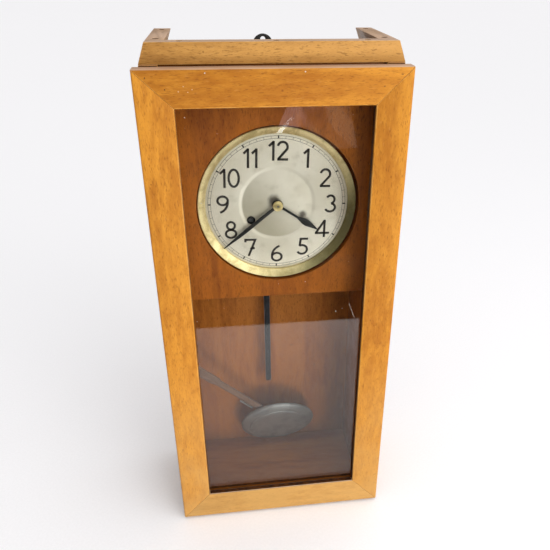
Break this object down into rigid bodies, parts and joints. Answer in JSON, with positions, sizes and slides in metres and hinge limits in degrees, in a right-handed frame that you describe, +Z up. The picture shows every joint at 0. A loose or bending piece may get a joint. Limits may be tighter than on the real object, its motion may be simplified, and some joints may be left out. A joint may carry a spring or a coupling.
{
  "type": "wall clock",
  "caption": "Tall oak-cased pendulum clock with a hinged glazed door, round silvered dial, brass bezel and spring-driven movement.",
  "frame": {"origin": "under the middle of the case, on the surface that the case stands on", "axes": "+Z up; +Y to the back, away from somebody who reads the dial; +X to that person's right"},
  "size_m": [0.3, 0.156, 0.681],
  "materials": {
    "oak": "satin varnish",
    "dark_oak": "satin varnish",
    "rod_wood": "dull varnish",
    "glass": "clear",
    "brass": "polished, tarnished",
    "old_brass": "dull",
    "silvered_brass": "silvered, satin",
    "black_iron": "black",
    "steel": "satin",
    "blued_steel": "blued",
    "zinc": "dull cast metal"
  },
  "bodies": {
    "case": {"case_side_left": "oak", "case_side_right": "oak", "case_floor": "dark_oak", "back_board": "dark_oak", "head_rail": "oak", "cornice_front": "oak", "cornice_left": "oak", "cornice_right": "oak", "hanger_plate": "black_iron", "hinge_case_leaf_1": "old_brass", "hinge_case_leaf_2": "old_brass", "catch_clip": "brass", "dial_board": "dark_oak", "dial_board_cleat_left": "dark_oak", "dial_board_cleat_right": "dark_oak", "bezel": "brass", "dial_plate": "silvered_brass", "winding_grommet": "black_iron", "movement_front_plate": "brass", "movement_back_plate": "brass", "movement_bracket_left": "steel", "movement_bracket_right": "steel", "click_screw": "steel", "suspension_cock": "brass"},
    "door": {"door_stile_left": "oak", "door_stile_right": "oak", "door_rail_bottom": "oak", "door_rail_top": "oak", "door_glass": "glass", "glass_bead_left": "oak", "glass_bead_right": "oak", "glass_bead_bottom": "oak", "glass_bead_top": "oak", "hinge_door_leaf_1": "old_brass", "hinge_door_leaf_2": "old_brass", "catch_stud": "brass"},
    "minute_train": {"centre_arbor": "steel", "centre_wheel": "brass", "cannon_pinion": "steel", "minute_hand": "black_iron", "hand_nut": "brass"},
    "hour_train": {"hour_wheel": "brass", "hour_hand": "black_iron"},
    "minute_wheel": {"minute_wheel": "brass"},
    "barrel": {"mainspring_barrel": "brass", "mainspring": "blued_steel"},
    "winding": {"winding_arbor": "steel", "ratchet_wheel": "steel"},
    "click": {"click": "steel"},
    "third": {"third_arbor": "steel", "third_wheel": "brass"},
    "escape": {"escape_arbor": "steel", "escape_wheel": "brass"},
    "verge": {"verge_and_crutch": "steel"},
    "leader": {"pendulum_leader": "blued_steel", "suspension_spring": "blued_steel"},
    "pendulum": {"pendulum_rod": "rod_wood", "pendulum_bob": "zinc", "rating_nut": "brass"}
  },
  "joints": [
    {"name": "door_swing", "type": "hinge", "parent": "case", "child": "door", "pos_m": [-0.147, -0.0561, 0.33], "axis": [0, 0, -1], "range_deg": [0, 110]},
    {"name": "hands_turn", "type": "hinge", "parent": "case", "child": "minute_train", "pos_m": [0.0049, 0, 0.48], "axis": [0, 1, 0], "continuous": true},
    {"name": "hour_turn", "type": "hinge", "parent": "case", "child": "hour_train", "pos_m": [0.0049, 0, 0.48], "axis": [0, 1, 0], "continuous": true},
    {"name": "minute_wheel_turn", "type": "hinge", "parent": "case", "child": "minute_wheel", "pos_m": [0.01194, 0, 0.49324], "axis": [0, 1, 0], "continuous": true},
    {"name": "barrel_turn", "type": "hinge", "parent": "case", "child": "barrel", "pos_m": [-0.0294, 0, 0.4595], "axis": [0, 1, 0], "continuous": true},
    {"name": "third_turn", "type": "hinge", "parent": "case", "child": "third", "pos_m": [0.01242, 0, 0.50279], "axis": [0, 1, 0], "continuous": true},
    {"name": "escape_turn", "type": "hinge", "parent": "case", "child": "escape", "pos_m": [-0.008, 0, 0.5084], "axis": [0, 1, 0], "continuous": true},
    {"name": "winding_turn", "type": "hinge", "parent": "case", "child": "winding", "pos_m": [-0.0294, 0, 0.4595], "axis": [0, 1, 0], "continuous": true},
    {"name": "click_lift", "type": "hinge", "parent": "case", "child": "click", "pos_m": [-0.0384, 0, 0.4415], "axis": [0, 1, 0], "range_deg": [0, 10], "stiffness_Nm_per_rad": 0.01, "springref_deg": -11.46},
    {"name": "leader_swing", "type": "hinge", "parent": "case", "child": "leader", "pos_m": [-0.008, 0.047, 0.531], "axis": [0, 1, 0], "range_deg": [-3, 3]},
    {"name": "verge_rock", "type": "hinge", "parent": "case", "child": "verge", "pos_m": [-0.008, 0, 0.531], "axis": [0, 1, 0], "range_deg": [-3, 3]},
    {"name": "pendulum_lift", "type": "slide", "parent": "case", "child": "pendulum", "axis": [0, 0, 1], "range_m": [0, 0.04]}
  ],
  "couplings": [
    {"joint": "hour_turn", "follows": "hands_turn", "ratio": 0.083333},
    {"joint": "minute_wheel_turn", "follows": "hands_turn", "ratio": -0.33333},
    {"joint": "barrel_turn", "follows": "hands_turn", "ratio": -0.16667},
    {"joint": "third_turn", "follows": "hands_turn", "ratio": -9},
    {"joint": "escape_turn", "follows": "hands_turn", "ratio": 90},
    {"joint": "verge_rock", "follows": "leader_swing", "ratio": 1}
  ]
}
